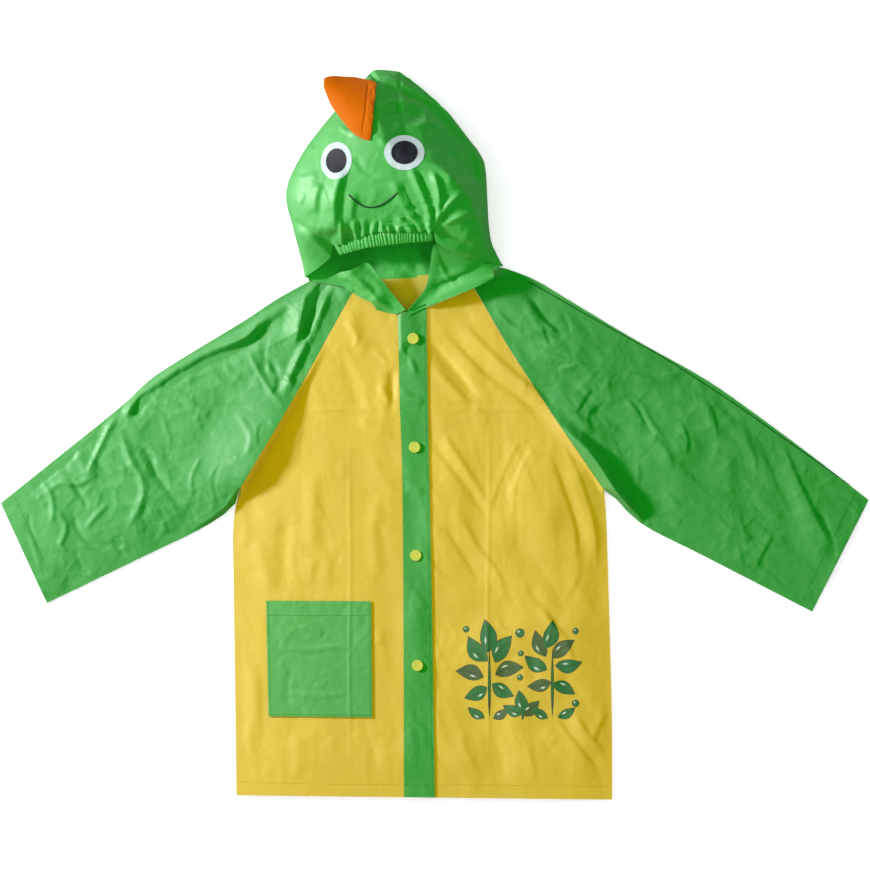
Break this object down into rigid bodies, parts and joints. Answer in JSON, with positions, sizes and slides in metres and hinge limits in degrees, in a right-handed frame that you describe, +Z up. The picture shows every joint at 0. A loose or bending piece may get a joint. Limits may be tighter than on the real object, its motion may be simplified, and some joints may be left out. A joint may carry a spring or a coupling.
{
  "type": "child's hooded raincoat laid flat",
  "caption": "Child's hooded raincoat laid flat face up: raglan sleeves, snap placket, patch pocket and a hood with an elastic brim, face patches and a soft crest.",
  "frame": {"origin": "middle of the footprint, on the surface that the coat lies on", "axes": "+X from the wearer's right cuff to the left one, +Y from the hem to the hood, +Z up out of the coat's front"},
  "size_m": [0.937, 0.788, 0.0654],
  "materials": {
    "yellow_vinyl": "thin soft vinyl sheet with a waxy gloss and fine crinkles",
    "green_vinyl": "thin soft vinyl sheet with a waxy gloss and fine crinkles",
    "snap_plastic": "moulded snap cap with a raised rim",
    "orange_vinyl": "soft vinyl over light stuffing",
    "white_print": "matt white patch",
    "dark_print": "matt dark patch"
  },
  "bodies": {
    "root": {"back": "yellow_vinyl", "front_right": "yellow_vinyl", "front_left": "yellow_vinyl", "placket": "green_vinyl", "pocket": "green_vinyl", "hood_right": "green_vinyl", "hood_left": "green_vinyl", "brim_casing": "green_vinyl", "neck_flap_right": "green_vinyl", "neck_flap_left": "green_vinyl", "sleeve_front_right": "green_vinyl", "sleeve_front_left": "green_vinyl", "sleeve_back_right": "green_vinyl", "sleeve_back_left": "green_vinyl", "snap_1": "snap_plastic", "snap_2": "snap_plastic", "snap_3": "snap_plastic", "snap_4": "snap_plastic", "crest": "orange_vinyl", "eye_white_right": "white_print", "eye_white_left": "white_print", "pupil_right": "dark_print", "pupil_left": "dark_print"}
  },
  "joints": []
}
